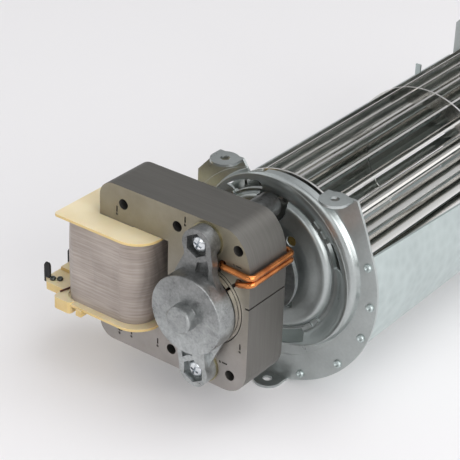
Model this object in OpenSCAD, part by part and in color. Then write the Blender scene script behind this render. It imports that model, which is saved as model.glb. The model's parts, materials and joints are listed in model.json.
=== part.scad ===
// Cross-flow blower with an open shaded-pole motor.
// The fan axis runs along +Y, with the motor at the low end and +Z up.
// The origin is the centre of the four fixing holes in the top lugs.

/* [Motor] */
// Height of the lamination stack, along Z
stack_height = 61; // [58:1:64]
// Depth of the lamination stack, along the axis
stack_depth = 20; // [14:1:24]
// Rotor axis to the coil side of the stack
stack_left = 45.5; // [44:0.5:48]
// Rotor axis to the plain side of the stack
stack_right = 17.5; // [17:0.5:20]
// Near end plate's front face to the back of the stack
motor_gap = 14.2; // [13.5:0.1:16]
// Radius of the stator bore
bore_r = 14.9; // [14.5:0.1:15.2]
// Radial air gap between rotor and stator
air_gap = 0.3; // [0.2:0.05:0.5]
// Radius of the motor shaft
shaft_r = 2.5; // [2:0.25:3]

/* [Coil] */
// Depth of the bobbin's flanges, along the axis
flange_depth = 40; // [38:1:42]
// Width of the bobbin's flanges, along X
flange_width = 38.5; // [36:0.5:40]
// Thickness of the flanges and of the bobbin's tube
bobbin_wall = 1.0; // [0.8:0.1:1.4]
// Height of the coil window in the stack
window_height = 34.4; // [32:0.2:36]

/* [End plates] */
// Rim of the end plates outside the scroll sheet
plate_rim = 2.1; // [1.6:0.1:5]
// Thickness of the end plates' sheet
plate_t = 1.0; // [0.8:0.1:1.2]
// Height of the lugs' top face over the axis
lug_top = 35.5; // [34:0.5:38]
// Distance between the two lug holes, along X
lug_pitch = 44.3; // [42:0.1:46]
// Radius of the fixing holes
fix_hole_r = 1.7; // [1.5:0.05:2]

/* [Fan] */
// Radius of the impeller
impeller_r = 30; // [28:0.5:30]
// Number of blades
blade_count = 24; // [18:1:28]
// Distance between the two end plates' front faces
casing_length = 174; // [150:1:200]
// Near disc's front face, behind the near plate's front face
near_disc_y = 11.2; // [10.5:0.1:12.5]
// Middle ring's front face
mid_ring_y = 98.9; // [80:0.1:110]
// Radius of the scroll sheet, outside
scroll_r = 42.5; // [42:0.1:43]

/* [Hidden] */
$fn = 64;

half_h = stack_height / 2;
plate_r = scroll_r + plate_rim;
stack_back = -motor_gap;
stack_front = stack_back - stack_depth;
half_win = window_height / 2;
win_right = 16;
core_w = 14.5;
core_x = -stack_left + core_w / 2;
mid_y = stack_front + stack_depth / 2;
screw_z = 24;
screw_r = 1.9;
side_hole_x = 12.4;
side_hole_z = 24.1;
far_hole_x = -35.2;
side_hole_r = 1.9;
corner_w = 10.5;
corner_h = 16;
boss_r = 5.8;
rotor_r = bore_r - air_gap;
run_fit = 0.05;

// Shading rings: two on the right above the axis, two mirrored below it
ring_wire_r = 1.08;
ring_bend_r = 1.9;
ring_off = 0.4;
ring_wide = [6.2, 17.3];
ring_slim = [13.0, 12.7];
ring_upper_z = [16.7, 14.45];
ring_lower_z = [15.9, 13.65];

// Bobbin
flange_left = core_x - flange_width / 2;
flange_right = core_x + flange_width / 2;
flange_front = mid_y - flange_depth / 2;
bobbin_half = half_win - 0.1;
flange_z = bobbin_half - bobbin_wall;
tube_clear = 0.1;
flange_bend = 9.5;
block_left = -68.4;
block_front = -39.2;
block_back = -9.4;
blade_spade_y = [-36.5, -24.2];
blade_spade_x = -67.9;

// Front bracket, from its boss to the stack
disc_r = 14.2;
disc_front = stack_front - 10.8;
arm_front = stack_front - 5.8;
arm_back = stack_front - 3;
boss_front = disc_front - 4.3;
pocket_floor = stack_front - 3.2;
pocket_r = 4.4;
bearing_r = 5.5;
bearing_len = 6;
front_bearing_y = disc_front + 1.2;
washer_t = 0.6;

// Rear bracket and motor carrier
rear_boss_back = 0.2;
rear_boss_r = 4.65;
rear_boss_z = 22.5;
rear_disc_front = -6;
rear_disc_back = -4.2;
rear_bearing_y = -9.6;
face_y = -0.6;
carrier_t = 0.9;
pilot_r = 7.5;
shoulder_r = 10.5;
carrier_hole_x = 9.8;
carrier_hole_z = 12.0;
crest_y = 0.5;
floor_y = 2.4;
carrier_edge_r = 25.7;
seam_gap = 0.2;
notch_r = 6.3;
notch_z = 22.4;

// Raised ring on the near plate
ring_x = 5;
ring_z = 3.6;
ring_root_r = 32.8;
ring_rise = 2.5;
ring_trim_r = 31.9;
pan_r = 29;
pan_lip = 1;

// End plate outline
plate_left = 30.6;
lug_w = 10.2;
lug_x0 = 5.15 - lug_pitch / 2;
lug_x1 = 5.15 + lug_pitch / 2;
lug_reach = 8.3;
lug_hole_y = 3;
foot_x = 5.2;
foot_reach = 8.5;
foot_hole_y = 3.6;

// Casing
sheet_t = 0.8;
scroll_top = 21;
edge_drop = 2.6;
tongue_low = -22;
tongue_top = 10.7;
tongue_x = plate_left + sheet_t;
stud_angles = [18, -2, -20, -42, -67];
flat_studs = [-8, -23];
stud_w = 3;
far_y = casing_length;

// Impeller
disc_t = 0.8;
far_disc_y = casing_length - 8;
blade_in_r = 23.6;
blade_t = 0.5;
blade_tip_r = impeller_r - 0.8;
blade_arc_r = blade_tip_r - blade_in_r + 0.9;
hub_r = 6;
stub_r = 3;

fix_y = (far_y + plate_t) / 2;

// Points along an arc
function arc(cx, cy, r, a0, a1, n = 10) =
    [for (i = [0:n]) [cx + r * cos(a0 + (a1 - a0) * i / n), cy + r * sin(a0 + (a1 - a0) * i / n)]];

// Points along part of an oval
function oval(cx, cy, a, b, a0, a1, n = 12) =
    [for (i = [0:n]) [cx + a * cos(a0 + (a1 - a0) * i / n), cy + b * sin(a0 + (a1 - a0) * i / n)]];

// Puts the rotor axis in its place under the fixing holes
module place() {
    translate([-5.15, -fix_y, -lug_top]) children();
}

// Outline in X and Z, extruded backwards from the front given
module slab(front, depth) {
    translate([0, front + depth, 0]) rotate([90, 0, 0]) linear_extrude(height = depth) children();
}

// Profile of radius and Y, turned about the fan axis
module turned(x = 0, z = 0) {
    translate([x, 0, z]) rotate([-90, 0, 0]) rotate_extrude() children();
}

// The same profile over a part turn, from angle t0 to t1
module turned_part(t0, t1) {
    rotate([-90, 0, 0]) rotate([0, 0, -t1]) rotate_extrude(angle = t1 - t0) children();
}

module rod_y(x, z, r, front, back) {
    translate([x, front, z]) rotate([-90, 0, 0]) cylinder(r = r, h = back - front);
}

module box(x0, x1, y0, y1, z0, z1) {
    translate([x0, y0, z0]) cube([x1 - x0, y1 - y0, z1 - z0]);
}

// Stack outline, with its four rounded corners and the open coil window
module stack_outline() {
    polygon(concat(
        oval(stack_right - corner_w, half_h - corner_h, corner_w, corner_h, 0, 90),
        arc(-stack_left + 6, half_h - 6, 6, 90, 180),
        [[-stack_left, half_win], [-win_right, half_win], [-win_right, -half_win], [-stack_left, -half_win]],
        arc(-stack_left + 6, -half_h + 6, 6, 180, 270),
        arc(stack_right - 9, -half_h + 9, 9, 270, 360)));
}

// One shading ring: a closed loop of round wire through the stack, between two points in X and Z
module shading_ring(inner, outer) {
    run = outer - inner;
    long = norm(run);
    front = stack_front - ring_wire_r - ring_off;
    back = stack_back + ring_wire_r + ring_off;
    r = ring_bend_r;
    translate([inner[0], 0, inner[1]]) rotate([0, -atan2(run[1], run[0]), 0]) {
        rod_y(0, 0, ring_wire_r, front + r, back - r);
        rod_y(long, 0, ring_wire_r, front + r, back - r);
        for (y = [front, back])
            translate([r, y, 0]) rotate([0, 90, 0]) cylinder(r = ring_wire_r, h = long - 2 * r);
        translate([r, front + r, 0]) rotate([0, 0, 180]) bend(r);
        translate([long - r, front + r, 0]) rotate([0, 0, 270]) bend(r);
        translate([long - r, back - r, 0]) bend(r);
        translate([r, back - r, 0]) rotate([0, 0, 90]) bend(r);
    }
}

module bend(r) {
    rotate_extrude(angle = 90) translate([r, 0]) circle(r = ring_wire_r, $fn = 32);
}

// Room for a ring's inner leg and its bends, open to the bore
module ring_slots() {
    gap = ring_wire_r + 0.12;
    for (p = [ring_wide, ring_slim]) {
        translate(p) circle(r = gap);
        translate([p[0] + 0.5, p[1]]) circle(r = gap);
        translate([p[0], p[1] - gap]) square([0.5, 2 * gap]);
        rotate(atan2(p[1], p[0])) translate([bore_r - 1, -0.6]) square([norm(p) - bore_r, 1.2]);
    }
}

// Interlock mark of the laminations: a short slot with a dimple under it
module interlock(p, turn) {
    translate([p[0], stack_front, p[1]]) rotate([0, turn, 0]) {
        box(-0.3, 0.3, -1, 0.6, -0.6, 1.6);
        rod_y(0, -1.4, 0.5, -1, 0.5);
    }
}

module stator_stack() {
    place() color("#8f8d8b") difference() {
        slab(stack_front, stack_depth) difference() {
            stack_outline();
            circle(r = bore_r);
            for (x = [-side_hole_x, side_hole_x, far_hole_x])
                translate([x, side_hole_z]) circle(r = side_hole_r);
            for (x = [-side_hole_x, side_hole_x, far_hole_x])
                translate([x - 1.5, -side_hole_z]) circle(r = side_hole_r);
            for (s = [-1, 1])
                translate([0, s * screw_z]) circle(r = screw_r + 0.1);
            ring_slots();
            rotate(180) ring_slots();
            translate([16, 3.7]) square([2, 0.6]);
        }
        for (p = [[-38.0, 21.0], [-9.2, 27.2], [-36.8, -25.6], [-31.4, -24.9], [-19.8, -23.8], [14.6, -11.8]])
            interlock(p, 0);
        for (p = [[12.3, 18.4], [8.1, -20.2]]) interlock(p, 90);
    }
}

module coil_core() {
    place() color("#85827f")
        box(core_x - core_w / 2, core_x + core_w / 2, stack_front, stack_back, -half_win, half_win);
}

// Flange outline seen from above, with its two wide corners on the motor side
module flange_shape() {
    f = flange_front;
    b = flange_front + flange_depth;
    polygon(concat(
        arc(flange_left + 1.4, f + 1.4, 1.4, 180, 270, 5),
        arc(flange_right - flange_bend, f + flange_bend, flange_bend, 270, 360, 10),
        arc(flange_right - flange_bend, b - flange_bend, flange_bend, 0, 90, 10),
        arc(flange_left + 1.4, b - 1.4, 1.4, 90, 180, 5)));
}

module bobbin() {
    place() color("#e8d3a4") {
        difference() {
            union() {
                for (z = [flange_z, -bobbin_half])
                    translate([0, 0, z]) linear_extrude(height = bobbin_wall) flange_shape();
                box(core_x - core_w / 2 - tube_clear - bobbin_wall, core_x + core_w / 2 + tube_clear + bobbin_wall,
                    stack_front - tube_clear - bobbin_wall, stack_back + tube_clear + bobbin_wall,
                    -bobbin_half, bobbin_half);
                terminal_block();
            }
            box(core_x - core_w / 2 - tube_clear, core_x + core_w / 2 + tube_clear,
                stack_front - tube_clear, stack_back + tube_clear, -half_win - 1, half_win + 1);
            for (y = blade_spade_y)
                box(blade_spade_x - 1.4, blade_spade_x + 1.4, y - 0.4, y + 0.4, -17.5, -8);
        }
    }
}

// Ledge with the two terminals, its raised rear half, the lead clip and a peg
module terminal_block() {
    low = -bobbin_half - 1.4;
    top = -bobbin_half + 1.6;
    difference() {
        box(block_left, flange_left + 1.5, block_front, block_back, low, top);
        for (y = [block_front - 1, block_back + 1])
            translate([block_left, y, 0]) rotate([0, 0, 45]) box(-2.4, 2.4, -2.4, 2.4, low - 1, 0);
    }
    box(block_left + 0.8, flange_left + 0.5, -30, block_back - 1, top - 0.6, top + 1.4);
    translate([0, 0, low - 1.5]) linear_extrude(height = -flange_z - 0.05 - low + 1.5) clip_outline();
    translate([0, 0, -flange_z - 0.1]) linear_extrude(height = top + flange_z + 0.1) difference() {
        clip_outline();
        translate([flange_left + 1.9 + 5.5, flange_front + 2 + 5.5]) circle(r = 5.9);
    }
    box(-47.4, -45.0, -45.0, -42, -bobbin_half - 2, -bobbin_half + 0.5);
}

// Rounded clip that the lead is laid over, seen from above
module clip_outline() {
    polygon(concat(arc(-56.4, -43.0, 1.8, 175, 265, 6), arc(-51.7, -43.3, 1.5, 275, 360, 6),
        [[-50.4, -40.8], [-52.2, -38], [-58.1, -38]]));
}

// Taped winding, wound round the bobbin's tube
module coil_winding() {
    wl = flange_left + 1.9;
    wr = flange_right - 2.8;
    wf = flange_front + 2;
    wb = 2 * mid_y - wf;
    r = 5.5;
    wide = 8.5;
    place() color("#b5aca6") difference() {
        translate([0, 0, -flange_z]) linear_extrude(height = 2 * flange_z) polygon(concat(
            arc(wl + r, wf + r, r, 180, 270, 8), arc(wr - wide, wf + wide, wide, 270, 360, 8),
            arc(wr - wide, wb - wide, wide, 0, 90, 8), arc(wl + r, wb - r, r, 90, 180, 8)));
        box(core_x - core_w / 2 - tube_clear - bobbin_wall, core_x + core_w / 2 + tube_clear + bobbin_wall,
            stack_front - tube_clear - bobbin_wall, stack_back + tube_clear + bobbin_wall,
            -flange_z - 1, flange_z + 1);
    }
}

module spade_terminals() {
    place() color("#1b1b1c") for (y = blade_spade_y) translate([blade_spade_x, y, 0])
        rotate([90, 0, 0]) translate([0, 0, -0.4]) linear_extrude(height = 0.8)
            polygon([[-1.4, -17.5], [1.4, -17.5], [1.4, -10.6], [0.9, -9.6], [-0.7, -9.6], [-1.4, -10.8]]);
}

// Magnet wire over the clip to the winding, and its two soldered wraps on the ledge
module coil_lead() {
    top = -bobbin_half + 1.6;
    place() color("#3f2a22") {
        translate([-57.6, -41.4, top + 0.36]) rotate([-90, 0, -12]) cylinder(r = 0.35, h = 6.4, $fn = 32);
        for (p = [[-65.3, -36.6], [-63.2, -35.2]]) translate([p[0], p[1], top]) rotate_extrude($fn = 48)
            polygon([[0, 0.02], [1.05, 0.02], [1.15, 0.5], [0.9, 0.95], [0.45, 1.15], [0, 1.2]]);
    }
}

module ring_pair(side, heights) {
    out = side + ring_wire_r + ring_off;
    shading_ring(ring_wide, [out, heights[0]]);
    shading_ring(ring_slim, [out, heights[1]]);
}

module shading_rings_upper() {
    place() color("#b5622a") ring_pair(stack_right, ring_upper_z);
}

module shading_rings_lower() {
    place() color("#b5622a") rotate([0, 180, 0]) ring_pair(win_right, ring_lower_z);
}

module rotor_core() {
    place() color("#6f6c69") slab(stack_front, stack_depth) difference() {
        circle(r = rotor_r);
        circle(r = shaft_r);
    }
}

module rotor_end_rings() {
    place() color("#b9bcbe") for (s = [[stack_front - 2.4, stack_front], [stack_back, stack_back + 2.4]])
        turned() polygon([[8.2, s[0]], [rotor_r - 0.5, s[0]], [rotor_r - 0.5, s[1]], [8.2, s[1]]]);
}

// Shaft with the two collars that space the rotor from its bearings
module motor_shaft() {
    f = stack_front - 3.3;
    b = rear_bearing_y - 0.4;
    place() color("#c4c7c9") turned() polygon([
        [0, front_bearing_y + 0.5], [shaft_r - 0.4, front_bearing_y + 0.5], [shaft_r, front_bearing_y + 0.9],
        [shaft_r, f], [4.2, f], [4.2, stack_front], [shaft_r, stack_front], [shaft_r, stack_back],
        [4.2, stack_back], [4.2, b], [shaft_r, b], [shaft_r, 18], [shaft_r - 0.4, 18.4], [0, 18.4]]);
}

// Arm outline between the disc and one screw boss, and its set-back web on the coil side
module arm_outline() {
    polygon([[-3.6, 10], [8.6, 10], [6.2, 13.4], [5.6, 16], [boss_r, screw_z], [-boss_r + 0.4, screw_z]]);
}

module arm_web() {
    polygon([[-11.2, 8], [0, 8], [0, screw_z - 3], [-5.2, screw_z - 3], [-5.7, 19.4]]);
}

module front_bracket() {
    cup = bearing_len + 1.2;
    place() color("#a9aeb0") {
        difference() {
            union() {
                turned() polygon([[0, boss_front], [4.1, boss_front], [4.8, boss_front + 0.7], [4.9, disc_front],
                    [disc_r - 0.7, disc_front], [disc_r - 0.2, disc_front + 0.2], [disc_r, disc_front + 0.7],
                    [disc_r, arm_back], [8.2, arm_back], [8.2, disc_front + cup], [0, disc_front + cup]]);
                slab(arm_front + 1.3, arm_back - arm_front - 1.3) for (a = [0, 180]) rotate(a) arm_outline();
                slab(arm_front + 1.9, arm_back - arm_front - 1.9) for (a = [0, 180]) rotate(a) arm_web();
                for (a = [0, 180]) rotate([0, a, 0]) arm_ribs();
                for (s = [-1, 1]) rod_y(0, s * screw_z, boss_r, arm_front, stack_front - washer_t);
            }
            for (s = [-1, 1]) {
                slab(arm_front - 1, pocket_floor - arm_front + 1)
                    translate([0, s * screw_z]) rotate(30) circle(r = pocket_r, $fn = 6);
                rod_y(0, s * screw_z, screw_r + 0.05, pocket_floor - 1, stack_front);
            }
            rod_y(0, 0, bearing_r, front_bearing_y, stack_front);
            turned() polygon([[8.2 + 1.2, arm_front + 1.2], [disc_r - 1.4, arm_front + 1.2],
                [disc_r - 1.4, stack_front], [8.2 + 1.2, stack_front]]);
        }
    }
}

// Straight rib on the coil side and curved rib on the other
module arm_ribs() {
    slab(arm_front, arm_back - arm_front) {
        polygon([[-3.4, 10.3], [-1, 11.2], [0.5, 18.2], [-1.5, 19.6], [-3.8, screw_z - 2], [-boss_r + 0.4, screw_z],
            [-5, screw_z - 3.5], [-3.8, 12.4]]);
        polygon([[5.6, 11], [5.1, 14], [5.2, 17], [4.7, 19.3], [4.2, 21.2], [boss_r - 0.1, screw_z], [6.7, 19],
            [6.6, 17.4], [6.7, 16], [7.1, 14.4], [7.8, 12.9], [9.2, 10.8], [8, 10]]);
    }
}

module rear_bracket() {
    place() color("#a0a5a7") difference() {
        union() {
            turned() polygon([[0, rear_bearing_y], [8.2, rear_bearing_y], [8.2, rear_disc_front], [16, rear_disc_front],
                [16, rear_disc_back], [shoulder_r, rear_disc_back], [shoulder_r, face_y], [pilot_r, face_y],
                [pilot_r, face_y + carrier_t + 1.2], [0, face_y + carrier_t + 1.2]]);
            slab(rear_disc_front - 2, rear_disc_back - rear_disc_front + 2)
                for (a = [0, 180]) rotate(a) polygon([[-5.2, 12], [5.2, 12], [3.6, rear_boss_z], [-3.6, rear_boss_z]]);
            for (s = [-1, 1]) rod_y(0, s * rear_boss_z, rear_boss_r, stack_back + washer_t, rear_boss_back);
        }
        rod_y(0, 0, bearing_r, rear_bearing_y - 1, rear_bearing_y + bearing_len);
        rod_y(0, 0, shaft_r + 0.6, rear_bearing_y, 5);
        for (s = [-1, 1]) rod_y(0, s * screw_z, screw_r, stack_back, rear_boss_back - 2);
    }
}

module bearing_bush(front) {
    turned() polygon([[shaft_r + run_fit, front], [bearing_r - 1, front], [bearing_r, front + 1.2],
        [bearing_r, front + bearing_len - 1.2], [bearing_r - 1, front + bearing_len],
        [shaft_r + run_fit, front + bearing_len]]);
}

module front_bearing() {
    place() color("#a8834a") bearing_bush(front_bearing_y);
}

module rear_bearing() {
    place() color("#a8834a") bearing_bush(rear_bearing_y);
}

// Sprung retainers that hold the bearings in their cups
module front_retainer() {
    y = disc_front + bearing_len + 1.2;
    place() color("#8d9092") turned() polygon([[4.6, y], [8, y], [8, y + 0.5], [4.6, y + 0.5]]);
}

module rear_retainer() {
    y = rear_bearing_y;
    place() color("#8d9092") turned() polygon([[4.6, y - 0.5], [8, y - 0.5], [8, y], [4.6, y]]);
}

module bracket_screws() {
    place() color("#c9cccd") for (s = [-1, 1]) difference() {
        union() {
            turned(0, s * screw_z) polygon([[0, pocket_floor - 2.1], [1.6, pocket_floor - 1.95],
                [2.6, pocket_floor - 1.4], [3.1, pocket_floor - 0.6], [3.1, pocket_floor], [screw_r, pocket_floor],
                [screw_r, rear_boss_back - 2], [0, rear_boss_back - 2]]);
        }
        for (a = [0, 90]) translate([0, pocket_floor - 2.4, s * screw_z]) rotate([0, a + 20, 0])
            box(-1.6, 1.6, 0, 1.6, -0.35, 0.35);
    }
}

// Spacer washers between the bosses and the stack
module boss_washers() {
    place() color("#b9ad78") for (s = [-1, 1], w = [[stack_front - washer_t, boss_r], [stack_back, rear_boss_r]])
        turned(0, s * screw_z) polygon([[screw_r + 0.1, w[0]], [w[1] + 0.4, w[0]], [w[1] + 0.4, w[0] + washer_t],
            [screw_r + 0.1, w[0] + washer_t]]);
}

// Pressed dish that carries the motor, seated in the near plate, with notches for the rear bracket's bosses
module motor_carrier() {
    t = carrier_t;
    mid = face_y + 1.8;
    front = concat([[pilot_r + 0.05, face_y], [14.8, face_y], [16.6, face_y + 0.3], [18.6, face_y + 1.1],
        [20, mid - 0.1], [20.8, mid], [21.5, mid - 0.15]], arc(22.9, crest_y + 1.7, 1.7, 240, 340, 8),
        [[24.8, floor_y - 0.2], [25.1, floor_y], [carrier_edge_r, floor_y]]);
    back = concat([[carrier_edge_r, floor_y + t], [24.6, floor_y + t], [24.1, floor_y + t - 0.3]],
        arc(22.9, crest_y + 1.7, 0.8, 340, 240, 5), [[21.8, mid + t - 0.15], [20.6, mid + t], [19.8, mid + t - 0.1],
        [18.2, face_y + t + 1.1], [16.4, face_y + t + 0.3], [14.6, face_y + t], [pilot_r + 0.05, face_y + t]]);
    place() color("#a9b3b3") difference() {
        turned() polygon(concat(front, back));
        for (sx = [-1, 1], sz = [-1, 1])
            rod_y(sx * carrier_hole_x, sz * carrier_hole_z, 1.9, face_y - 1, floor_y + 2);
        for (s = [-1, 1]) rod_y(0, s * notch_z, notch_r, face_y - 1, floor_y + 2);
    }
}

// Collar pressed on the rear bracket's pilot, behind the dish
module hub_ring() {
    y = face_y + carrier_t;
    place() color("#9aa0a2") turned() polygon([[pilot_r, y], [10.5, y], [10.5, y + 0.8], [pilot_r, y + 0.8]]);
}

// Flat outline of an end plate, before it is folded
module plate_outline() {
    polygon(concat(
        [[-plate_left, 25.6], [-plate_left, -plate_r]],
        arc(0, 0, plate_r, -90, 22.2, 48),
        [[37.7, 26.8], [34.0, lug_top], [22.8, lug_top], [20, 32.5], [-10.4, 33.2], [-11.9, lug_top], [-lug_w - 11.9, lug_top]]));
}

// A folded lug with a round end and one hole
module lug(x, top, reach, hole_y) {
    translate([x, 0, top - plate_t]) linear_extrude(height = plate_t) difference() {
        union() {
            translate([-lug_w / 2, -reach + lug_w / 2]) square([lug_w, reach - lug_w / 2 + plate_t]);
            translate([0, -reach + lug_w / 2]) circle(r = lug_w / 2);
        }
        translate([0, -hole_y]) circle(r = fix_hole_r);
    }
}

module lugs() {
    lug(lug_x0, lug_top, lug_reach, lug_hole_y);
    lug(lug_x1, lug_top, lug_reach, lug_hole_y);
    lug(foot_x, -plate_r + plate_t, foot_reach, foot_hole_y);
}

// Slots for the casing's tabs
module tab_slots(y) {
    for (a = stud_angles) rotate([0, -a, 0])
        box(scroll_r - sheet_t - 0.05, scroll_r + 0.05, y - 1, y + plate_t + 1, -stud_w / 2 - 0.05, stud_w / 2 + 0.05);
    for (x = flat_studs)
        box(x - stud_w / 2 - 0.05, x + stud_w / 2 + 0.05, y - 1, y + plate_t + 1,
            -scroll_r - 0.05, -scroll_r + sheet_t + 0.05);
}

module clinch_tab(a) {
    turned_part(a, a + 6) polygon([[26.2, floor_y + 0.2], [26.2, floor_y], [25.1, floor_y], [25.1, floor_y - 0.35],
        [25.4, floor_y - 0.6], [26.7, floor_y - 0.6], [27.1, floor_y + 0.2]]);
}

// Window between the dish's edge and the pan's wall
module window(a, wide) {
    difference() {
        intersection() {
            circle(r = pan_r + 0.45);
            polygon([[0, 0], [50 * cos(a), 50 * sin(a)], [50 * cos(a + wide), 50 * sin(a + wide)]]);
        }
        circle(r = carrier_edge_r + seam_gap + 0.3);
    }
}

module near_end_plate() {
    top = -ring_rise;
    t = plate_t;
    hole = carrier_edge_r + seam_gap;
    seat = floor_y + carrier_t;
    place() color("#b3bcbc") {
        difference() {
            union() {
                slab(0, t) difference() {
                    plate_outline();
                    circle(r = pan_r);
                    translate([ring_x, ring_z]) circle(r = ring_root_r - 0.5);
                }
                lugs();
                difference() {
                    turned(ring_x, ring_z) polygon(concat([[ring_root_r, 0], [ring_root_r, t], [ring_root_r - 1, t]],
                        [[ring_root_r - 1.3, top + 2.4], [ring_root_r - 2.2, top + 1.2], [ring_root_r - 3.2, top + t]],
                        [[20, top + t], [20, top]],
                        arc(ring_root_r - 2.6, top + 2.2, 2.2, 270, 345, 8)));
                    rod_y(0, 0, pan_r, top - 1, t + 1);
                    slab(top - 1, t - top + 2) difference() {
                        polygon([[22.3, 20], [22.3, 45], [-11.4, 45], [-11.4, 20]]);
                        translate([ring_x, ring_z]) circle(r = ring_trim_r);
                    }
                }
                difference() {
                    turned() polygon([[pan_r + 1, top], [pan_r + 0.6, top + 0.3], [pan_r + 0.1, floor_y - 0.9], [pan_r - 0.7, floor_y],
                        [hole, floor_y], [hole, seat], [hole - pan_lip, seat], [hole - pan_lip, seat + t],
                        [hole + 0.8, seat + t], [hole + 1.2, floor_y + t], [pan_r - 0.2, floor_y + t],
                        [pan_r + 0.9, floor_y + 0.2], [pan_r + 1.5, top + t], [pan_r + 1.5, top]]);
                    slab(top - 1, -top + 1) difference() {
                        circle(r = pan_r + 10);
                        translate([ring_x, ring_z]) circle(r = ring_root_r - 1.6);
                    }
                    for (w = [[13, 20], [101, 27], [193, 20], [277, 26]]) slab(0.4, 6) window(w[0], w[1]);
                }
                for (a = [37, 45.5, 129, 137.5, 217, 225.5, 308, 316.5]) clinch_tab(a);
            }
            tab_slots(0);
        }
    }
}

// Scroll sheet round the right and bottom, with its tabs staked over the end plates
module casing_scroll() {
    y0 = plate_t;
    y1 = far_y;
    edge_z = scroll_r * sin(scroll_top);
    place() color("#b7c2c1") {
        difference() {
            union() {
                slab(y0, y1 - y0) difference() {
                    intersection() {
                        circle(r = scroll_r);
                        polygon([[0, 0], [60 * cos(scroll_top), 60 * sin(scroll_top)], [60, -60], [0, -60]]);
                    }
                    circle(r = scroll_r - sheet_t);
                }
                box(-tongue_x, 0, y0, y1, -scroll_r, -scroll_r + sheet_t);
            }
            translate([0, y0, 0]) rotate([-atan(edge_drop / 56), 0, 0])
                box(scroll_r - 12, scroll_r + 8, -5, 60, edge_z, edge_z + 15);
            box(scroll_r - 12, scroll_r + 8, 56, y1 + 5, edge_z - edge_drop, edge_z + 15);
        }
        for (s = [[0, -1], [far_y + plate_t, 1]]) {
            for (a = stud_angles) rotate([0, -a, 0]) {
                box(scroll_r - sheet_t, scroll_r, min(s[0], s[0] - s[1] * plate_t) - 0.01,
                    max(s[0], s[0] - s[1] * plate_t) + 0.01, -stud_w / 2, stud_w / 2);
                translate([scroll_r - sheet_t / 2, s[0], 0]) stud_head(s[1]);
            }
            for (x = flat_studs) {
                box(x - stud_w / 2, x + stud_w / 2, min(s[0], s[0] - s[1] * plate_t) - 0.01,
                    max(s[0], s[0] - s[1] * plate_t) + 0.01, -scroll_r, -scroll_r + sheet_t);
                translate([x, s[0], -scroll_r + sheet_t / 2]) rotate([0, 90, 0]) stud_head(s[1]);
            }
        }
    }
}

// Peened end of a tab, with the punch's pit in its middle
module stud_head(way) {
    rotate([way > 0 ? -90 : 90, 0, 0]) rotate_extrude($fn = 32)
        polygon([[0, 0], [1.5, 0], [1.45, 0.5], [1.15, 0.85], [0.8, 0.9], [0.35, 0.45], [0, 0.4]]);
}

// Left sheet with its hemmed top edge and the upright tab
module tongue_sheet() {
    place() color("#b7c2c1") {
        box(-tongue_x, -plate_left, 0, far_y + plate_t, tongue_low, tongue_top);
        box(-tongue_x - 0.9, -tongue_x, plate_t, far_y, tongue_top - 3, tongue_top);
        box(-tongue_x - 1.6, -plate_left, 147.6, 148.4, tongue_top - 3, 15);
    }
}

module impeller_hub() {
    place() color("#a98d52") difference() {
        turned() polygon([[shaft_r, near_disc_y - 3.2], [hub_r, near_disc_y - 3.2], [hub_r, near_disc_y + disc_t + 8],
            [shaft_r, near_disc_y + disc_t + 8]]);
        translate([0, near_disc_y + disc_t + 4, 0]) rotate([0, 90, 0]) cylinder(r = 1.5, h = 10);
    }
}

module hub_screw() {
    place() color("#2c2c2e") translate([shaft_r, near_disc_y + disc_t + 4, 0]) rotate([0, 90, 0]) difference() {
        cylinder(r = 1.5, h = hub_r - shaft_r - 0.4);
        translate([0, 0, hub_r - shaft_r - 1.6]) cylinder(r = 0.8, h = 3, $fn = 6);
    }
}

// Impeller disc with the ends of the blades standing through its outer face
module blade_disc(front, way) {
    slab(front, disc_t) difference() {
        circle(r = impeller_r);
        circle(r = way < 0 ? hub_r : stub_r);
    }
    slab(way < 0 ? front - 0.7 : front + disc_t - 0.1, 0.8) for (i = [0:blade_count - 1])
        rotate(i * 360 / blade_count) intersection() {
            blade_section();
            circle(r = blade_tip_r - 1);
        }
}

module impeller_near_disc() {
    place() color("#c2c6c8") blade_disc(near_disc_y, -1);
}

module impeller_far_disc() {
    place() color("#c2c6c8") blade_disc(far_disc_y, 1);
}

module impeller_mid_ring() {
    place() color("#c2c6c8") slab(mid_ring_y, disc_t) difference() {
        circle(r = impeller_r);
        circle(r = blade_in_r);
    }
}

// Section of one curved blade: radial at its inner edge, and leaning at its tip
module blade_section() {
    intersection() {
        translate([blade_in_r, -blade_arc_r]) intersection() {
            difference() {
                circle(r = blade_arc_r + blade_t / 2);
                circle(r = blade_arc_r - blade_t / 2);
            }
            square(blade_arc_r + blade_t);
        }
        circle(r = blade_tip_r);
    }
}

module blade_set(front, back) {
    slab(front, back - front)
        for (i = [0:blade_count - 1]) rotate(i * 360 / blade_count) blade_section();
}

module impeller_blades_near() {
    place() color("#d0d3d4") blade_set(near_disc_y + disc_t, mid_ring_y);
}

module impeller_blades_far() {
    place() color("#d0d3d4") blade_set(mid_ring_y + disc_t, far_disc_y);
}

module stub_shaft() {
    place() color("#c4c7c9") turned() polygon([[0, far_disc_y - 4], [4.5, far_disc_y - 4], [4.5, far_disc_y],
        [stub_r, far_disc_y], [stub_r, far_y + 3.5], [0, far_y + 3.5]]);
}

module far_end_plate() {
    place() color("#b3bcbc") difference() {
        union() {
            translate([0, far_y, 0]) slab(0, plate_t) difference() {
                plate_outline();
                circle(r = 11);
            }
            translate([0, far_y + plate_t, 0]) mirror([0, 1, 0]) lugs();
            translate([0, far_y, 0]) turned() polygon([[10, 0], [11.5, 0], [11.5, 3.6], [10, 3.6]]);
        }
        tab_slots(far_y);
    }
}

module far_bearing_rubber() {
    place() color("#1d1d1e") turned() polygon([[4.5, far_y - 1.4], [10, far_y - 1.4], [10, far_y + 4],
        [4.5, far_y + 4]]);
}

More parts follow.
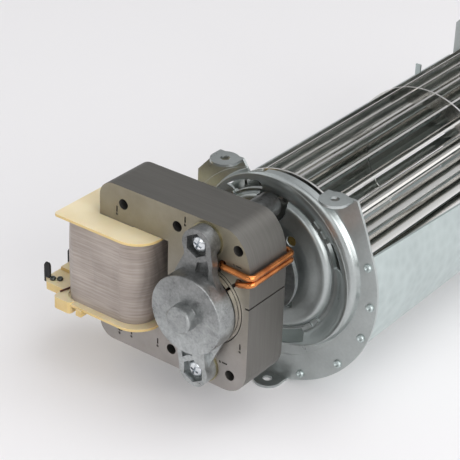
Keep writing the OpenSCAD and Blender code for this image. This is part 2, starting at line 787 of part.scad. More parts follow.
module far_bearing_sleeve() {
    place() color("#a8834a") turned() polygon([[stub_r + run_fit, far_y - 1.4], [4.5, far_y - 1.4],
        [4.5, far_y + 4], [stub_r + run_fit, far_y + 4]]);
}

stator_stack();
coil_core();
bobbin();
coil_winding();
spade_terminals();
coil_lead();
shading_rings_upper();
shading_rings_lower();
rotor_core();
rotor_end_rings();
motor_shaft();
front_bracket();
rear_bracket();
front_bearing();
rear_bearing();
front_retainer();
rear_retainer();
bracket_screws();
boss_washers();
motor_carrier();
hub_ring();
near_end_plate();
casing_scroll();
tongue_sheet();
impeller_hub();
hub_screw();
impeller_near_disc();
impeller_blades_near();
impeller_mid_ring();
impeller_blades_far();
impeller_far_disc();
stub_shaft();
far_end_plate();
far_bearing_rubber();
far_bearing_sleeve();
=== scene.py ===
import json
from math import cos, pi, radians, sin

import bpy
import numpy as np
from mathutils import Matrix, Vector


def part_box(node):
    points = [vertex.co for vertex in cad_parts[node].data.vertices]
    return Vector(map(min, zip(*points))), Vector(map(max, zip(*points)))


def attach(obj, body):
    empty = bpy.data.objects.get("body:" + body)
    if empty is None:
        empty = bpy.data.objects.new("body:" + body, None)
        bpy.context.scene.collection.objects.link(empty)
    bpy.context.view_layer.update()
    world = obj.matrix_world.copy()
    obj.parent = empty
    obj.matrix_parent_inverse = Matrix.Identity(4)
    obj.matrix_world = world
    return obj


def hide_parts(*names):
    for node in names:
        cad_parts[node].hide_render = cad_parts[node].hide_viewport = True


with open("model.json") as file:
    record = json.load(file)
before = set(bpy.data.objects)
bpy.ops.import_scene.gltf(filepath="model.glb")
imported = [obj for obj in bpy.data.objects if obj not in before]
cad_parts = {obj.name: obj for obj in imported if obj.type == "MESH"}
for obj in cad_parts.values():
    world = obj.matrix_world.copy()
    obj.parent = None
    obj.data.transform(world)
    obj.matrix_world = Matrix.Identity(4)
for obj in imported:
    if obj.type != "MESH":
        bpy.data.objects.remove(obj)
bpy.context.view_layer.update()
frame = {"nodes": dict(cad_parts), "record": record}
MM = 0.001


# The camera stands to the right of the motor and above it, where the picture was taken.
# Its turn, height and tilt were solved from the stack's straight edges.
turn, rise, tilt = radians(36.06), radians(29.44), radians(2.17)
focal_px, frame_px, sensor = 1700.0, 460.0, 36.0
level = np.array([cos(turn), sin(turn), 0.0])
ahead = np.array([-sin(turn) * cos(rise), cos(turn) * cos(rise), -sin(rise)])
upward = np.array([-sin(turn) * sin(rise), cos(turn) * sin(rise), cos(rise)])
right = cos(tilt) * level + sin(tilt) * upward
above = -sin(tilt) * level + cos(tilt) * upward
# The fan's axis runs along Y through AXIS, a point in the plane of the near plate's front face.
# It leaves the stack's front face, stack_front mm before that plane, at axis_pixel and distance mm deep.
AXIS = np.array([-5.15, -87.5, -35.5]) * MM
stack_front = 34.2
axis_pixel = (205.47, 302.60)
distance = 556.65
across_px, down_px = (place - frame_px / 2 for place in axis_pixel)
sight = ahead + across_px / focal_px * right - down_px / focal_px * above
eye = AXIS + (np.array([0, -stack_front, 0]) - sight * distance) * MM
lens = bpy.data.cameras.new("camera")
lens.sensor_width = sensor
lens.lens = focal_px / frame_px * sensor
lens.clip_start, lens.clip_end = 0.05, 20
camera = bpy.data.objects.new("camera", lens)
bpy.context.scene.collection.objects.link(camera)
camera.matrix_world = Matrix([[right[i], above[i], -ahead[i], eye[i]] for i in range(3)] + [[0, 0, 0, 1]])
bpy.context.scene.camera = camera
bpy.context.scene.view_settings.view_transform = "Standard"


# A white paper sweep under the blower, in a plain pale room with four soft boxes.
# The paper shows pale to the camera and in the metal, and keeps the soft shadow that the motor throws
# to the lower left.
def linear(hexa):
    """sRGB hex colour to the linear values that shaders use."""
    parts = [int(hexa[i : i + 2], 16) / 255 for i in (1, 3, 5)]
    return [p / 12.92 if p <= 0.04045 else ((p + 0.055) / 1.055) ** 2.4 for p in parts] + [1.0]


def add(mat, kind, settings=None, inputs=None, stops=()):
    """One shader node: its settings, its inputs (a value, or the output that feeds it), and the stops
    of a ramp in rising order."""
    made = mat.node_tree.nodes.new("ShaderNode" + kind)
    for key, value in (settings or {}).items():
        setattr(made, key, value)
    for key, value in (inputs or {}).items():
        if isinstance(value, bpy.types.NodeSocket):
            mat.node_tree.links.new(value, made.inputs[key])
        else:
            made.inputs[key].default_value = value
    for number, (place, colour) in enumerate(stops):
        if number > 1:
            made.color_ramp.elements.new(place)
        made.color_ramp.elements[number].position = place
        made.color_ramp.elements[number].color = linear(colour)
    return made


def surface(name, **sockets):
    """A material and its shader, with the sockets that the words name set (_ stands for a space)."""
    mat = bpy.data.materials.new(name)
    mat.use_nodes = True
    shader = mat.node_tree.nodes["Principled BSDF"]
    for key, value in sockets.items():
        shader.inputs[key.replace("_", " ")].default_value = value
    return mat, shader


def feed(mat, shader, **outputs):
    """Links each output to the shader's socket of that name, with _ for a space."""
    for key, output in outputs.items():
        mat.node_tree.links.new(output, shader.inputs[key.replace("_", " ")])


base_z = next(mount["pos_m"][2] for mount in frame["record"]["mounts"] if mount["name"] == "base")
half_width = 3.0
corners = [(x * half_width, y * half_width, base_z) for x, y in ((-1, -1), (1, -1), (1, 1), (-1, 1))]
floor_mesh = bpy.data.meshes.new("paper_sweep")
floor_mesh.from_pydata(corners, [], [(0, 1, 2, 3)])
floor = bpy.data.objects.new("paper_sweep", floor_mesh)
bpy.context.scene.collection.objects.link(floor)
# Matt white paper, with a little light of its own for the rays that see it as a background.
paper, shader = surface("white_paper", Base_Color=linear("#efedee"), Roughness=0.9)
own_light = 0.16
ray = add(paper, "LightPath").outputs
seen = add(paper, "Math", {"operation": "ADD"}, {0: ray["Is Camera Ray"], 1: ray["Is Glossy Ray"]})
seen = add(paper, "Math", {"operation": "ADD"}, {0: seen.outputs[0], 1: ray["Is Transmission Ray"]})
share = add(paper, "Math", {"operation": "MULTIPLY"}, {0: seen.outputs[0], 1: own_light})
glow = add(paper, "Emission", None, {"Color": linear("#e7e6e7"), "Strength": 1.0})
both = add(paper, "MixShader", None, {0: share.outputs[0], 1: shader.outputs[0], 2: glow.outputs[0]})
feed(paper, paper.node_tree.nodes["Material Output"], Surface=both.outputs[0])
floor_mesh.materials.append(paper)

# The room is near white low down and greyer towards the ceiling.
world = bpy.data.worlds.new("studio")
bpy.context.scene.world = world
world.use_nodes = True
way = add(world, "TexCoord").outputs["Generated"]
steepness = add(world, "SeparateXYZ", None, {0: way}).outputs["Z"]
tones = [(0.0, "#f7f7f7"), (0.29, "#f2f2f3"), (0.34, "#e6e6e7"), (0.5, "#d2d3d5"), (0.75, "#b0b1b3")]
room = add(world, "ValToRGB", None, {0: steepness}, tones).outputs[0]
# It is dark behind the camera, dimmer at the far left and brighter at the far right, and the metal mirrors
# that. A wall's shade sets in where a ray turns towards it, and is full where the ray meets it nearly square.
sets_in = 0.25
walls = (((0.59, -0.81, 0.0), 0.9, 0.3), ((-0.84, 0.54, 0.0), 0.85, 0.5), ((0.6, 0.8, 0.0), 0.9, 1.3))
for wall, full_at, shade in walls:
    facing = add(world, "VectorMath", {"operation": "DOT_PRODUCT"}, {0: way, 1: wall}).outputs["Value"]
    fade = add(world, "MapRange", None,
               {"Value": facing, "From Min": sets_in, "From Max": full_at, "To Min": 1.0, "To Max": shade})
    room = add(world, "VectorMath", {"operation": "SCALE"}, {0: room, "Scale": fade.outputs[0]}).outputs[0]
background = world.node_tree.nodes["Background"]
feed(world, background, Color=room)
background.inputs["Strength"].default_value = 1.15

motor_middle = Vector(AXIS) + Vector((0.0, 0.03, 0.01))
for name, place, size, watts in (
    ("overhead_softbox", (0.3, 0.15, 1.05), 0.9, 5.5),
    ("right_softbox", (0.95, -0.5, 0.45), 0.8, 7.5),
    ("left_softbox", (-0.95, -0.35, 0.6), 0.5, 0.7),
    ("front_softbox", (0.1, -1.15, 0.4), 0.6, 1.5),
):
    lamp = bpy.data.lights.new(name, "AREA")
    lamp.size, lamp.energy = size, watts
    stand = bpy.data.objects.new(name, lamp)
    bpy.context.scene.collection.objects.link(stand)
    aim = (motor_middle - Vector(place)).to_track_quat("-Z", "Y").to_matrix().to_4x4()
    stand.matrix_world = Matrix.Translation(place) @ aim


# Stator stack and its core leg: about forty punched silicon-steel sheets pressed together.
# The faces keep the mill's grey oxide with faint rolling blotches, and the sides show every sheet's edge.
weld_within = 0.002 * MM
flat_within, sharp_from = radians(0.6), radians(35)


def dress(piece, mat, bevel=0.0):
    """Gives a CAD node (by name) or a piece its material. Modifiers merge its loose triangles to flat faces,
    soften its sharp edges (mm) and shade its curves smooth between them."""
    body = frame["nodes"][piece] if isinstance(piece, str) else piece
    body.data.materials.clear()
    body.data.materials.append(mat)
    body.data.polygons.foreach_set("use_smooth", np.ones(len(body.data.polygons), bool))
    body.modifiers.new("weld", "WELD").merge_threshold = weld_within
    flats = body.modifiers.new("flats", "DECIMATE")
    flats.decimate_type = "DISSOLVE"
    flats.angle_limit = flat_within
    if bevel:
        edge = body.modifiers.new("edge", "BEVEL")
        edge.width = bevel * MM
        edge.segments = 2
        edge.limit_method = "ANGLE"
        edge.angle_limit = sharp_from
    body.modifiers.new("split", "EDGE_SPLIT").split_angle = sharp_from
    body.modifiers.new("even", "WEIGHTED_NORMAL").keep_sharp = True


def per(size):
    """Scale of a pattern whose patches are about size mm wide (one size, or sizes along x, y and z)."""
    return 1 / (np.array(size) * MM)


# Silicon steel, cold rolled: grey-brown blotches 9 mm wide on the faces, under a painted reflection that
# makes the faces darker and browner towards the top and lighter towards the bottom.
# The sheets' cut edges are darker, with streaks that follow the sheets round.
mix_colours, mix_values = {"data_type": "RGBA"}, {"data_type": "FLOAT"}
steel, shader = surface("silicon_steel_laminations", Metallic=0.7, Roughness=0.46)
coord = add(steel, "TexCoord").outputs["Object"]
sheets = add(steel, "Mapping", None, {"Vector": coord, "Scale": per((16.7, 0.714, 16.7))})
streak = add(steel, "TexNoise", None, {"Vector": sheets.outputs[0], "Scale": 1.0, "Detail": 2.0})
blotch = add(steel, "TexNoise", None, {"Vector": coord, "Scale": per(9.09), "Detail": 5.0, "Roughness": 0.6})
normal = add(steel, "SeparateXYZ", None, {0: add(steel, "NewGeometry").outputs["Normal"]})
on_face = add(steel, "Math", {"operation": "ABSOLUTE"}, {0: normal.outputs["Y"]}).outputs[0]
sides = add(steel, "ValToRGB", None, {"Fac": streak.outputs["Fac"]}, [(0.25, "#65635f"), (0.75, "#6e6c68")])
dim_upper_face = add(steel, "ValToRGB", None, {"Fac": blotch.outputs["Fac"]}, [(0.3, "#857e6c"), (0.7, "#958f7f")])
lit_lower_face = add(steel, "ValToRGB", None, {"Fac": blotch.outputs["Fac"]}, [(0.3, "#96928e"), (0.7, "#a7a29f")])
# Painted reflection: the faces' colour goes from the darker ramp at the top to the lighter one at the bottom.
upright = add(steel, "SeparateXYZ", None, {0: coord}).outputs["Z"]
dim_face_z, lit_face_z = AXIS[2] + 22 * MM, AXIS[2] - 22 * MM
lower = add(steel, "MapRange", None, {"Value": upright, "From Min": dim_face_z, "From Max": lit_face_z}).outputs[0]
face = add(steel, "Mix", mix_colours, {"Factor": lower, "A": dim_upper_face.outputs[0], "B": lit_lower_face.outputs[0]})
grey = add(steel, "Mix", mix_colours, {"Factor": on_face, "A": sides.outputs[0], "B": face.outputs["Result"]})
rough = add(steel, "Mix", mix_values,
            {"Factor": on_face, "A": streak.outputs["Fac"], "B": blotch.outputs["Fac"]})
relief = add(steel, "Bump", None, {"Height": rough.outputs[0], "Strength": 0.07, "Distance": 0.1 * MM})
feed(steel, shader, Base_Color=grey.outputs["Result"], Normal=relief.outputs[0])
dress("stator_stack", steel, 0.15)
dress("coil_core", steel, 0.1)
dress("rotor_core", steel)


# Bobbin: moulded cream nylon with two flanges, a terminal ledge, a clip and a peg.
# Light sinks a little into the plastic, and its sides and its underside are painted a deeper yellow-brown as
# shade, in clouds 11 mm wide.
nylon, shader = surface("moulded_cream_nylon", Roughness=0.4, Subsurface_Weight=0.2)
shader.inputs["Subsurface Scale"].default_value = 1.2 * MM
shader.inputs["Subsurface Radius"].default_value = (1.0, 0.6, 0.25)
coord = add(nylon, "TexCoord").outputs["Object"]
cloud = add(nylon, "TexNoise", None, {"Vector": coord, "Scale": per(11.1), "Detail": 3.0})
cream = add(nylon, "ValToRGB", None, {"Fac": cloud.outputs["Fac"]}, [(0.3, "#e0cfa6"), (0.7, "#eadcb9")])
shaded_amber = add(nylon, "ValToRGB", None, {"Fac": cloud.outputs["Fac"]}, [(0.3, "#d3b678"), (0.7, "#e0c78e")])
# Painted shade: faces turned away from the top take the deeper yellow-brown, upward faces the cream.
facing_up = add(nylon, "SeparateXYZ", None, {0: add(nylon, "NewGeometry").outputs["Normal"]}).outputs["Z"]
tint = add(nylon, "Mix", mix_colours, {"Factor": facing_up, "A": shaded_amber.outputs[0], "B": cream.outputs[0]})
grain = add(nylon, "TexNoise", None, {"Vector": coord, "Scale": per(0.667), "Detail": 2.0})
relief = add(nylon, "Bump", None, {"Height": grain.outputs["Fac"], "Strength": 0.08, "Distance": 0.05 * MM})
feed(nylon, shader, Base_Color=tint.outputs["Result"], Normal=relief.outputs[0])
dress("bobbin", nylon, 0.3)


# Winding: enamelled wire under several turns of thin grey woven tape. Each turn laps over the one below,
# with painted shade along each lap's edge that runs round the coil with a slight slope, and the tape wrinkles
# between its flanges.
def rounded_loop(low, high, radii, count):
    """Points at equal steps round a rectangle with quarter-circle corners, anticlockwise seen from above and
    from the front right corner on, with the outward direction and the distance travelled at each."""
    side = np.array([(1, -1), (1, 1), (-1, 1), (-1, -1)])
    centres = np.where(side > 0, high[:2], low[:2]) - side * radii[:, None]
    swing = np.linspace(0, pi / 2, 24) + (np.arange(4)[:, None] - 1) * pi / 2
    path = centres[:, None] + radii[:, None, None] * np.stack([np.cos(swing), np.sin(swing)], -1)
    path = np.concatenate([path.reshape(-1, 2), path[0, :1]])
    travelled = np.concatenate([[0], np.cumsum(np.linalg.norm(np.diff(path, axis=0), axis=1))])
    steps = np.linspace(0, travelled[-1], count, endpoint=False)
    points = np.stack([np.interp(steps, travelled, path[:, i]) for i in (0, 1)], 1)
    along = np.roll(points, -1, 0) - np.roll(points, 1, 0)
    along /= np.linalg.norm(along, axis=1)[:, None]
    return points, np.stack([along[:, 1], -along[:, 0]], 1), steps


def grid_mesh(name, points, keep=None):
    """Mesh of a grid of points (rows, columns, 3) with its columns joined into a ring, and with only
    the faces that keep marks."""
    rows, columns = points.shape[:2]
    number = np.arange(rows * columns).reshape(rows, columns)
    number = np.concatenate([number, number[:, :1]], 1)
    faces = np.stack([number[:-1, :-1], number[:-1, 1:], number[1:, 1:], number[1:, :-1]], -1).reshape(-1, 4)
    if keep is not None:
        faces = faces[keep.ravel()]
    mesh = bpy.data.meshes.new(name)
    mesh.from_pydata(points.reshape(-1, 3).tolist(), [], faces.tolist())
    mesh.polygons.foreach_set("use_smooth", np.ones(len(mesh.polygons), bool))
    piece = bpy.data.objects.new(name, mesh)
    bpy.context.scene.collection.objects.link(piece)
    return piece


rows, columns = 110, 420
corner_radii = np.array([8.5, 8.5, 5.5, 5.5]) * MM
coil_low, coil_high = (np.array(corner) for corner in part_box("coil_winding"))
loop, outward, travelled = rounded_loop(coil_low, coil_high, corner_radii, columns)
level_z = np.linspace(coil_low[2], coil_high[2], rows)
height = ((level_z - level_z[0]) / (level_z[-1] - level_z[0]))[:, None]
around = travelled / travelled[-1]
# The tape climbs one lap in each turn, a little unevenly, and each turn lies at its own depth.
lap = 4.4 * MM
rng = np.random.default_rng(7)
wave = sum(rng.uniform(0.1, 0.4) * np.sin(2 * pi * k * around + rng.uniform(0, 6)) for k in (1, 2, 3, 5))
phase = (level_z[:, None] - level_z[0]) / lap + around + 0.22 * wave
turn_number = np.floor(phase)
within = phase - turn_number
turn_depth = rng.uniform(0.05, 0.8, 32)[turn_number.astype(int)]
lap_edge = np.exp(-((within / 0.09) ** 2)) + 0.6 * np.exp(-(((1 - within) / 0.05) ** 2))
# The coil swells between the flanges, and waves whose phase drifts with height wrinkle it upright (in mm).
bulge, set_in = 0.45, 0.55
swell = bulge * np.sin(pi * height) ** 0.6 - set_in
drift = around + 0.012 * np.sin(2.2 * pi * height + 9 * around)
waves = ((23, 0.05, 0.4), (37, 0.035, 2.1), (61, 0.02, 4.0))
wrinkle = sum(deep * np.sin(2 * pi * count * drift + start) for count, deep, start in waves)
offset = swell + wrinkle * np.sin(pi * height) + turn_depth * (0.08 * within - 0.04 * lap_edge)
points = np.empty((rows, columns, 3))
points[..., :2] = loop + outward * offset[..., None] * MM
points[..., 2] = level_z[:, None]
tape = grid_mesh("winding_tape", points)
# The painted shade along each lap's edge, stronger where the turn lies deeper.
painted_lap_shade = tape.data.attributes.new("lap_edge", "FLOAT", "POINT")
painted_lap_shade.data.foreach_set("value", (turn_depth * lap_edge).ravel().astype(np.float32))
wound = tape.data.attributes.new("wound", "FLOAT_VECTOR", "POINT")
on_tape = np.stack(np.broadcast_arrays(travelled, level_z[:, None], 0.0), -1)
wound.data.foreach_set("vector", on_tape.ravel().astype(np.float32))
# Woven tape, varnished and grey with dust: streaks along the turns, drawn wider than the real threads
# so that they show, and patches 14 mm wide.
cloth, shader = surface("woven_grey_tape", Roughness=0.48, Sheen_Weight=0.15)
along_tape = add(cloth, "Attribute", {"attribute_name": "wound"}).outputs["Vector"]
threads = add(cloth, "Mapping", None, {"Vector": along_tape, "Scale": per((14.3, 0.714, 1000.0))})
streak = add(cloth, "TexNoise", None, {"Vector": threads.outputs[0], "Scale": 1.0, "Detail": 3.0})
coord = add(cloth, "TexCoord").outputs["Object"]
patch = add(cloth, "TexNoise", None, {"Vector": coord, "Scale": per(14.3), "Detail": 2.0})
shade = add(cloth, "Mix", mix_values, {"Factor": 0.45, "A": streak.outputs["Fac"], "B": patch.outputs["Fac"]})
weave = add(cloth, "ValToRGB", None, {"Fac": shade.outputs[0]}, [(0.3, "#857a72"), (0.7, "#b8ada5")])
# Painted shade: the tape is darkened towards a deeper grey-brown along each lap's edge.
at_edge = add(cloth, "Attribute", {"attribute_name": "lap_edge"}).outputs["Fac"]
dark = add(cloth, "Math", {"operation": "MULTIPLY"}, {0: at_edge, 1: 0.3})
tint = add(cloth, "Mix", mix_colours,
           {"Factor": dark.outputs[0], "A": weave.outputs[0], "B": linear("#7d726c")})
relief = add(cloth, "Bump", None, {"Height": streak.outputs["Fac"], "Strength": 0.25, "Distance": 0.08 * MM})
feed(cloth, shader, Base_Color=tint.outputs["Result"], Normal=relief.outputs[0])
tape.data.materials.append(cloth)
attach(tape, "frame")
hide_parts("coil_winding")


# Terminals: two spade blades pushed into the ledge. Their steel is black with age and oxide,
# a little patchy and half matt.
def mottled(name, stops, patch, detail, **sockets):
    """A material whose colour wanders between two shades in patches about so many millimetres wide
    (one size, or sizes along x, y and z)."""
    mat, shader = surface(name, **sockets)
    coord = add(mat, "TexCoord").outputs["Object"]
    scaled = add(mat, "Mapping", None, {"Vector": coord, "Scale": per(patch) * np.ones(3)})
    pattern = add(mat, "TexNoise", None, {"Vector": scaled.outputs[0], "Scale": 1.0, "Detail": detail})
    shade = add(mat, "ValToRGB", None, {"Fac": pattern.outputs["Fac"]}, stops)
    feed(mat, shader, Base_Color=shade.outputs[0])
    return mat


sooty = [(0.35, "#131314"), (0.75, "#2c2c2e")]
black = mottled("blackened_spade_terminals", sooty, patch=2.0, detail=4.0, Metallic=0.4, Roughness=0.45)
dress("spade_terminals", black, 0.15)
dress("hub_screw", black)


# Lead: enamelled wire over the clip, and its two soldered wraps on the ledge.
# The enamel is dark red-brown and glossy, and the old solder is grey-green.
lead, shader = surface("enamelled_wire_and_solder", Roughness=0.28, Coat_Weight=0.5, Coat_Roughness=0.15)
across = add(lead, "SeparateXYZ", None, {0: add(lead, "TexCoord").outputs["Object"]}).outputs["X"]
solder_edge, solder_metallic = AXIS[0] - 61.0 * MM, 0.8
on_wire = add(lead, "Math", {"operation": "GREATER_THAN"}, {0: across, 1: solder_edge}).outputs[0]
tint = add(lead, "Mix", mix_colours, {"Factor": on_wire, "A": linear("#3a3d38"), "B": linear("#4f2419")})
bare = add(lead, "Math", {"operation": "SUBTRACT", "use_clamp": True}, {0: solder_metallic, 1: on_wire})
feed(lead, shader, Base_Color=tint.outputs["Result"], Metallic=bare.outputs[0])
dress("coil_lead", lead)


# Shading rings: thick copper wire under clear enamel, bent round the stack's corners and brazed shut behind.
# The enamel keeps the copper orange, with brown heat marks 6 mm wide and fine lines from the drawing die.
copper, shader = surface("enamelled_copper", Metallic=1.0, Roughness=0.24, Coat_Weight=0.4)
shader.inputs["Coat Roughness"].default_value = 0.12
coord = add(copper, "TexCoord").outputs["Object"]
heat = add(copper, "TexNoise", None, {"Vector": coord, "Scale": per(6.25), "Detail": 3.0})
drawn = add(copper, "Mapping", None, {"Vector": coord, "Scale": per((1.67, 16.7, 1.11))})
lines = add(copper, "TexNoise", None, {"Vector": drawn.outputs[0], "Scale": 1.0, "Detail": 2.0})
orange = add(copper, "ValToRGB", None, {"Fac": heat.outputs["Fac"]}, [(0.25, "#96501f"), (0.65, "#cf8245")])
relief = add(copper, "Bump", None, {"Height": lines.outputs["Fac"], "Strength": 0.15, "Distance": 0.08 * MM})
feed(copper, shader, Base_Color=orange.outputs[0], Normal=relief.outputs[0])
dress("shading_rings_upper", copper)
dress("shading_rings_lower", copper)


# Brackets: die-cast zinc alloy, with the rough skin and cloudy flow marks of a cast part.
# A painted reflection makes the brackets darker at the top and brighter at the bottom. Most of a noise lies
# in noise_middle.
noise_middle = {"From Min": 0.3, "From Max": 0.7}
zinc, shader = surface("die_cast_zinc_alloy", Metallic=0.85, Roughness=0.42)
coord = add(zinc, "TexCoord").outputs["Object"]
flow = add(zinc, "TexNoise", None,
           {"Vector": coord, "Scale": per(4.35), "Detail": 6.0, "Roughness": 0.62, "Distortion": 0.6})
skin = add(zinc, "TexNoise", None, {"Vector": coord, "Scale": per(0.909), "Detail": 4.0, "Roughness": 0.7})
both = add(zinc, "Mix", mix_values, {"Factor": 0.4, "A": flow.outputs["Fac"], "B": skin.outputs["Fac"]})
dim_upper_cast = add(zinc, "ValToRGB", None, {"Fac": both.outputs[0]}, [(0.32, "#5f6060"), (0.66, "#919291")])
lit_lower_cast = add(zinc, "ValToRGB", None, {"Fac": both.outputs[0]}, [(0.32, "#8c8f8f"), (0.66, "#c4c8c8")])
# Painted reflection: the colour goes from the darker ramp at the top to the brighter one at the bottom.
upright = add(zinc, "SeparateXYZ", None, {0: coord}).outputs["Z"]
dim_cast_z, lit_cast_z = AXIS[2] + 16 * MM, AXIS[2] - 14 * MM
lower = add(zinc, "MapRange", None, {"Value": upright, "From Min": dim_cast_z, "From Max": lit_cast_z}).outputs[0]
cast = add(zinc, "Mix", mix_colours, {"Factor": lower, "A": dim_upper_cast.outputs[0], "B": lit_lower_cast.outputs[0]})
matt = add(zinc, "MapRange", None,
           {"Value": flow.outputs["Fac"], **noise_middle, "To Min": 0.26, "To Max": 0.44})
relief = add(zinc, "Bump", None, {"Height": both.outputs[0], "Strength": 0.35, "Distance": 0.12 * MM})
feed(zinc, shader, Base_Color=cast.outputs["Result"], Roughness=matt.outputs[0], Normal=relief.outputs[0])
dress("front_bracket", zinc, 0.35)
dress("rear_bracket", zinc, 0.35)


# Screws and washers: long cross-head screws in bright zinc plate, which mirrors the room in small clouds,
# over washers in duller yellow passivate.
bright_zinc = [(0.3, "#c9ced2"), (0.7, "#e6e9ec")]
plated = mottled("zinc_plated_steel", bright_zinc, patch=2.0, detail=3.0, Metallic=1.0, Roughness=0.2)
dress("bracket_screws", plated, 0.12)
passivate = [(0.3, "#8d8669"), (0.7, "#aaa488")]
yellow = mottled("yellow_passivated_steel", passivate, patch=2.86, detail=3.0, Metallic=1.0, Roughness=0.3)
dress("boss_washers", yellow)


# Impeller: thin rolled aluminium discs and blades, staked together.
# The foil is bright and mirror-like, with rolling lines 2 mm apart along the blades.
foil, shader = surface("rolled_aluminium", Metallic=1.0, Roughness=0.12)
coord = add(foil, "TexCoord").outputs["Object"]
rolled = add(foil, "Mapping", None, {"Vector": coord, "Scale": per((2.0, 166.7, 2.0))})
lines = add(foil, "TexNoise", None, {"Vector": rolled.outputs[0], "Scale": 1.0, "Detail": 3.0})
tint = add(foil, "ValToRGB", None, {"Fac": lines.outputs["Fac"]}, [(0.3, "#dddbd6"), (0.7, "#f2f1ee")])
matt = add(foil, "MapRange", None,
           {"Value": lines.outputs["Fac"], **noise_middle, "To Min": 0.08, "To Max": 0.15})
feed(foil, shader, Base_Color=tint.outputs[0], Roughness=matt.outputs[0])
for name in ("near_disc", "blades_near", "mid_ring", "blades_far", "far_disc"):
    dress("impeller_" + name, foil)
dress("rotor_end_rings", foil)


# Shafts, hub and bearings: ground steel shafts and a turned brass hub, both with fine rings round the axis,
# sintered bronze bushes, whose open pores are drawn coarser than they are, and satin spring-steel retainers.
rings = [(0.3, "#b4b7b9"), (0.7, "#d3d6d8")]
ground = mottled("ground_steel", rings, patch=(10.0, 0.4, 10.0), detail=2.0, Metallic=1.0, Roughness=0.2)
dress("motor_shaft", ground)
dress("stub_shaft", ground)
pores = [(0.35, "#7d5f33"), (0.6, "#ab884f")]
bronze = mottled("sintered_bronze", pores, patch=0.455, detail=2.0, Metallic=0.9, Roughness=0.5)
for name in ("front_bearing", "rear_bearing", "far_bearing_sleeve"):
    dress(name, bronze)
rings = [(0.3, "#9b7f43"), (0.7, "#c2a768")]
brass = mottled("turned_brass", rings, patch=(12.5, 0.333, 12.5), detail=2.0, Metallic=1.0, Roughness=0.28)
dress("impeller_hub", brass)
satin = [(0.3, "#7f8284"), (0.7, "#9b9ea0")]
spring = mottled("spring_steel", satin, patch=3.33, detail=3.0, Metallic=1.0, Roughness=0.3)
for name in ("front_retainer", "rear_retainer", "hub_ring"):
    dress(name, spring)


# End plates and dish: deep-drawn galvanised steel sheet.
# The zinc is satin, with a faint frosty mottle 11 mm wide under a fine grain.
galvanised, shader = surface("galvanised_pressing", Metallic=0.92, Roughness=0.3)
coord = add(galvanised, "TexCoord").outputs["Object"]
frost = add(galvanised, "TexNoise", None,
            {"Vector": coord, "Scale": per(11.1), "Detail": 1.5, "Roughness": 0.4})
fine = add(galvanised, "TexNoise", None, {"Vector": coord, "Scale": per(1.11), "Detail": 3.0})
both = add(galvanised, "Mix", mix_values,
           {"Factor": 0.35, "A": frost.outputs["Fac"], "B": fine.outputs["Fac"]})
tint = add(galvanised, "ValToRGB", None, {"Fac": both.outputs[0]}, [(0.3, "#a7acab"), (0.7, "#bcc2c1")])
matt = add(galvanised, "MapRange", None,
           {"Value": both.outputs[0], **noise_middle, "To Min": 0.27, "To Max": 0.38})
relief = add(galvanised, "Bump", None,
             {"Height": frost.outputs["Fac"], "Strength": 0.02, "Distance": 0.08 * MM})
feed(galvanised, shader, Base_Color=tint.outputs[0], Roughness=matt.outputs[0], Normal=relief.outputs[0])
dress("far_end_plate", galvanised, 0.15)


# Drawn forms of the near plate and the dish, which the press rounds more softly than the solids do.
# The plate's ring falls to the pan in one slope that the four windows cut into, and the dish has a wide
# rolled crest. Each lies in a ring that is cut out of a copy of its solid.
angles = np.arange(720) * pi / 360
face_angles = angles + pi / 720


def face_places(radii):
    """Radius of each face's middle in a sheet's grid, and its place across and upright of the axis (mm)."""
    middle_r = ((radii[:-1] + radii[1:]) / 2)[:, None]
    return middle_r, middle_r * np.cos(face_angles), middle_r * np.sin(face_angles)


def drawn_sheet(name, radii, depth, keep, thickness):
    """Galvanised sheet round the axis: a grid of radii and half-degree steps, each point at its depth (mm)
    behind the plate's face, without the faces that keep leaves out."""
    grid = np.stack([radii[:, None] * np.cos(angles), depth, radii[:, None] * np.sin(angles)], -1)
    piece = grid_mesh(name, AXIS + grid * MM, keep)
    piece.data.materials.append(galvanised)
    piece.modifiers.new("wall", "SOLIDIFY").thickness = thickness * MM
    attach(piece, "frame")


def cut_ring(node, inner, outer):
    """Stands in for a CAD node with the ring between two radii (mm) about the axis cut out of it."""
    past = 9.0
    corners = np.array([(inner, past), (outer, past), (outer, -past), (inner, -past), (inner, past)])
    across, along = corners[:, :1], corners[:, 1:] + 0 * angles
    loops = np.stack([across * np.cos(angles), along, across * np.sin(angles)], -1)
    cutter = grid_mesh("cutter", AXIS + loops * MM)
    cutter.modifiers.new("weld", "WELD")
    pressed = bpy.data.objects.new(node + "_pressed", frame["nodes"][node].data.copy())
    bpy.context.scene.collection.objects.link(pressed)
    pressed.modifiers.new("weld", "WELD").merge_threshold = weld_within
    cut = pressed.modifiers.new("cut", "BOOLEAN")
    cut.operation, cut.object, cut.solver = "DIFFERENCE", cutter, "EXACT"
    carved = bpy.data.meshes.new_from_object(pressed.evaluated_get(bpy.context.evaluated_depsgraph_get()))
    pressed.modifiers.clear()
    pressed.data = carved
    bpy.data.objects.remove(cutter)
    dress(pressed, galvanised, 0.15)
    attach(pressed, "frame")
    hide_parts(node)


inner_r, outer_r, window_r = 27.2, 34.8, 30.2
radii = np.concatenate([np.linspace(outer_r, window_r, 23), np.linspace(window_r, inner_r, 16)[1:]])
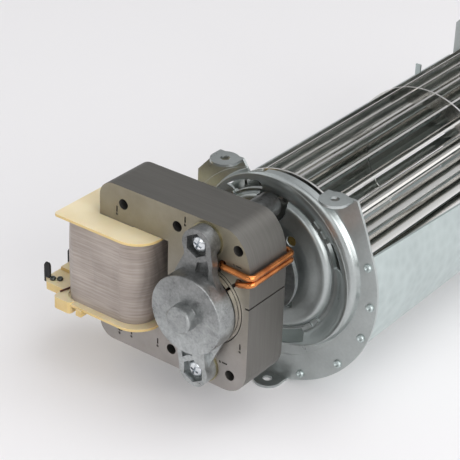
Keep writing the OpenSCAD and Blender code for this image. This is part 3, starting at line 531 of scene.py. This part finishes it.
# The ring is a flat crown round its own centre, an arc over its shoulder and a straight flank to the face.
ring_x, ring_z = 5.0, 3.6
shoulder_r, shoulder_y, rounding = 30.2, -0.3, 2.2
flank_r, flank_y, flank_end_r = 32.325, -0.869, 32.8
from_ring = np.hypot(radii[:, None] * np.cos(angles) - ring_x, radii[:, None] * np.sin(angles) - ring_z)
past_shoulder = np.clip(from_ring - shoulder_r, 0, None)
crown = shoulder_y - np.sqrt(np.clip(rounding**2 - past_shoulder**2, 0, None))
flank = np.interp(from_ring, [flank_r, flank_end_r], [flank_y, 0.0])
ring = np.where(from_ring < flank_r, crown, flank)
# The slope eases from the pan up to the crown in an S. The outermost rows keep the ring's own form.
pan_y, crown_y, slope_wide, own_form_r = 2.4, -2.5, 7.4, 34.65
part_way = np.clip((radii - inner_r) / slope_wide, 0, 1) ** 0.85
slope = pan_y + (crown_y - pan_y) * part_way**2 * (3 - 2 * part_way)
slope[radii > own_form_r] = -np.inf
depth = np.maximum(ring, slope[:, None])
# The plate ends at its straight top edge, but for the ring. Each window has a start and a width in degrees
# and the radius that it reaches up to.
top_z, ring_edge_r = 33.0, 31.9
windows = ((13, 20, 31.8), (101, 27, window_r), (193, 20, window_r), (277, 26, window_r))
middle_r, across, upright = face_places(radii)
on_sheet = (upright < top_z) | (np.hypot(across - ring_x, upright - ring_z) < ring_edge_r)
for start, wide, reach_r in windows:
    in_window = (face_angles > radians(start)) & (face_angles < radians(start + wide)) & (middle_r < reach_r)
    on_sheet &= ~in_window
drawn_sheet("near_plate_slope", radii, depth, on_sheet, 0.9)
cut_ring("near_end_plate", inner_r, outer_r)

# The dish's section: depth at each radius, from its face over the crest and down the wall to the pan.
face_r, wall_r = 13.4, 25.4
profile = ((face_r, -0.6), (16.0, -0.56), (18.0, -0.35), (19.5, -0.05), (20.8, 0.2), (21.8, 0.34),
           (22.7, 0.42), (23.5, 0.55), (24.2, 0.9), (24.8, 1.5), (25.2, 2.1), (wall_r, 2.4))
even_r = np.linspace(face_r, wall_r, 600)
section = np.interp(even_r, *np.transpose(profile))
brush = np.hanning(33)[1:-1]
section = np.convolve(np.pad(section, len(brush) // 2, "edge"), brush / brush.sum(), "valid")
radii = np.linspace(wall_r, face_r, 49)
depth = np.interp(radii, even_r, section)[:, None] + 0 * angles
notch_r, notch_z = 6.3, 22.4
hole_r, hole_x, hole_z = 1.9, 9.8, 12.0
middle_r, across, upright = face_places(radii)
in_notch = np.hypot(across, abs(upright) - notch_z) < notch_r
in_hole = np.hypot(abs(across) - hole_x, abs(upright) - hole_z) < hole_r
drawn_sheet("dish_crest", radii, depth, ~(in_notch | in_hole), 0.85)
cut_ring("motor_carrier", face_r, wall_r)


# Casing: the scroll and the left sheet, rolled from galvanised steel sheet.
# The zinc coat is duller than on the pressings and a little bluer, with a faint spangle 4 mm wide.
casing, shader = surface("galvanised_sheet", Metallic=0.85, Roughness=0.38)
coord = add(casing, "TexCoord").outputs["Object"]
spangle = add(casing, "TexVoronoi", None, {"Vector": coord, "Scale": per(3.85)})
frost = add(casing, "TexNoise", None, {"Vector": coord, "Scale": per(12.5), "Detail": 4.0})
both = add(casing, "Mix", mix_values,
           {"Factor": 0.6, "A": spangle.outputs["Distance"], "B": frost.outputs["Fac"]})
tint = add(casing, "ValToRGB", None, {"Fac": both.outputs[0]}, [(0.2, "#b0bbba"), (0.7, "#c2cccb")])
matt = add(casing, "MapRange", None,
           {"Value": frost.outputs["Fac"], **noise_middle, "To Min": 0.34, "To Max": 0.46})
feed(casing, shader, Base_Color=tint.outputs[0], Roughness=matt.outputs[0])
dress("casing_scroll", casing, 0.12)
dress("tongue_sheet", casing, 0.12)


# Far bearing: a ring of moulded black rubber that holds the bronze sleeve in the far plate.
# It is matt, with a faint grey bloom.
bloom = [(0.3, "#161617"), (0.7, "#262628")]
rubber = mottled("moulded_rubber", bloom, patch=3.33, detail=3.0, Roughness=0.65)
dress("far_bearing_rubber", rubber)
